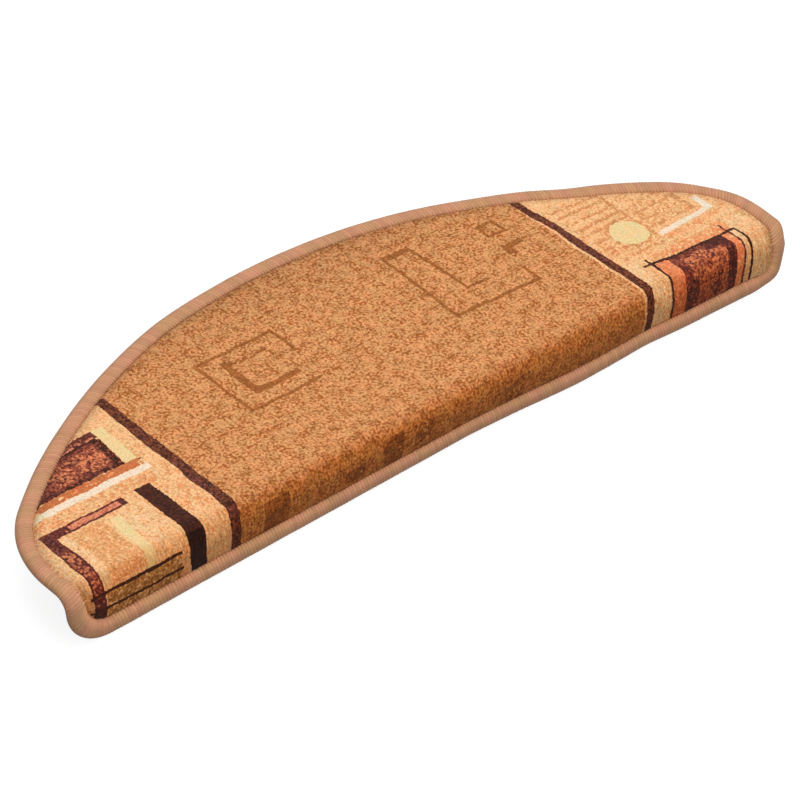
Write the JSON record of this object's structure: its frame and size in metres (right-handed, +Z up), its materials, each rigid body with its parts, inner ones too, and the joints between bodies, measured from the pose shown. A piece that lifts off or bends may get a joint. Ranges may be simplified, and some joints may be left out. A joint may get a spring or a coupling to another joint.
{
  "type": "anti slip stair tread mat",
  "caption": "Half-moon pile carpet mat for a stair tread, its straight front edge folded down over the nosing, with an overlocked edge and a grip backing.",
  "frame": {"origin": "mid-length of the stair's nosing: where the plane under the tread part meets the plane behind the flap", "axes": "+X along the stair's edge, +Y towards the riser behind, +Z up"},
  "size_m": [0.65, 0.2008, 0.045],
  "materials": {
    "printed_pile": "matte cut pile, printed tan with dark end stripes",
    "overlock_yarn": "soft sheen, fine ribs across the edge",
    "latex_backing": "matte latex with fine grip texture"
  },
  "bodies": {
    "root": {"carpet": "printed_pile", "edge_binding": "overlock_yarn", "grip_backing": "latex_backing"}
  },
  "joints": []
}
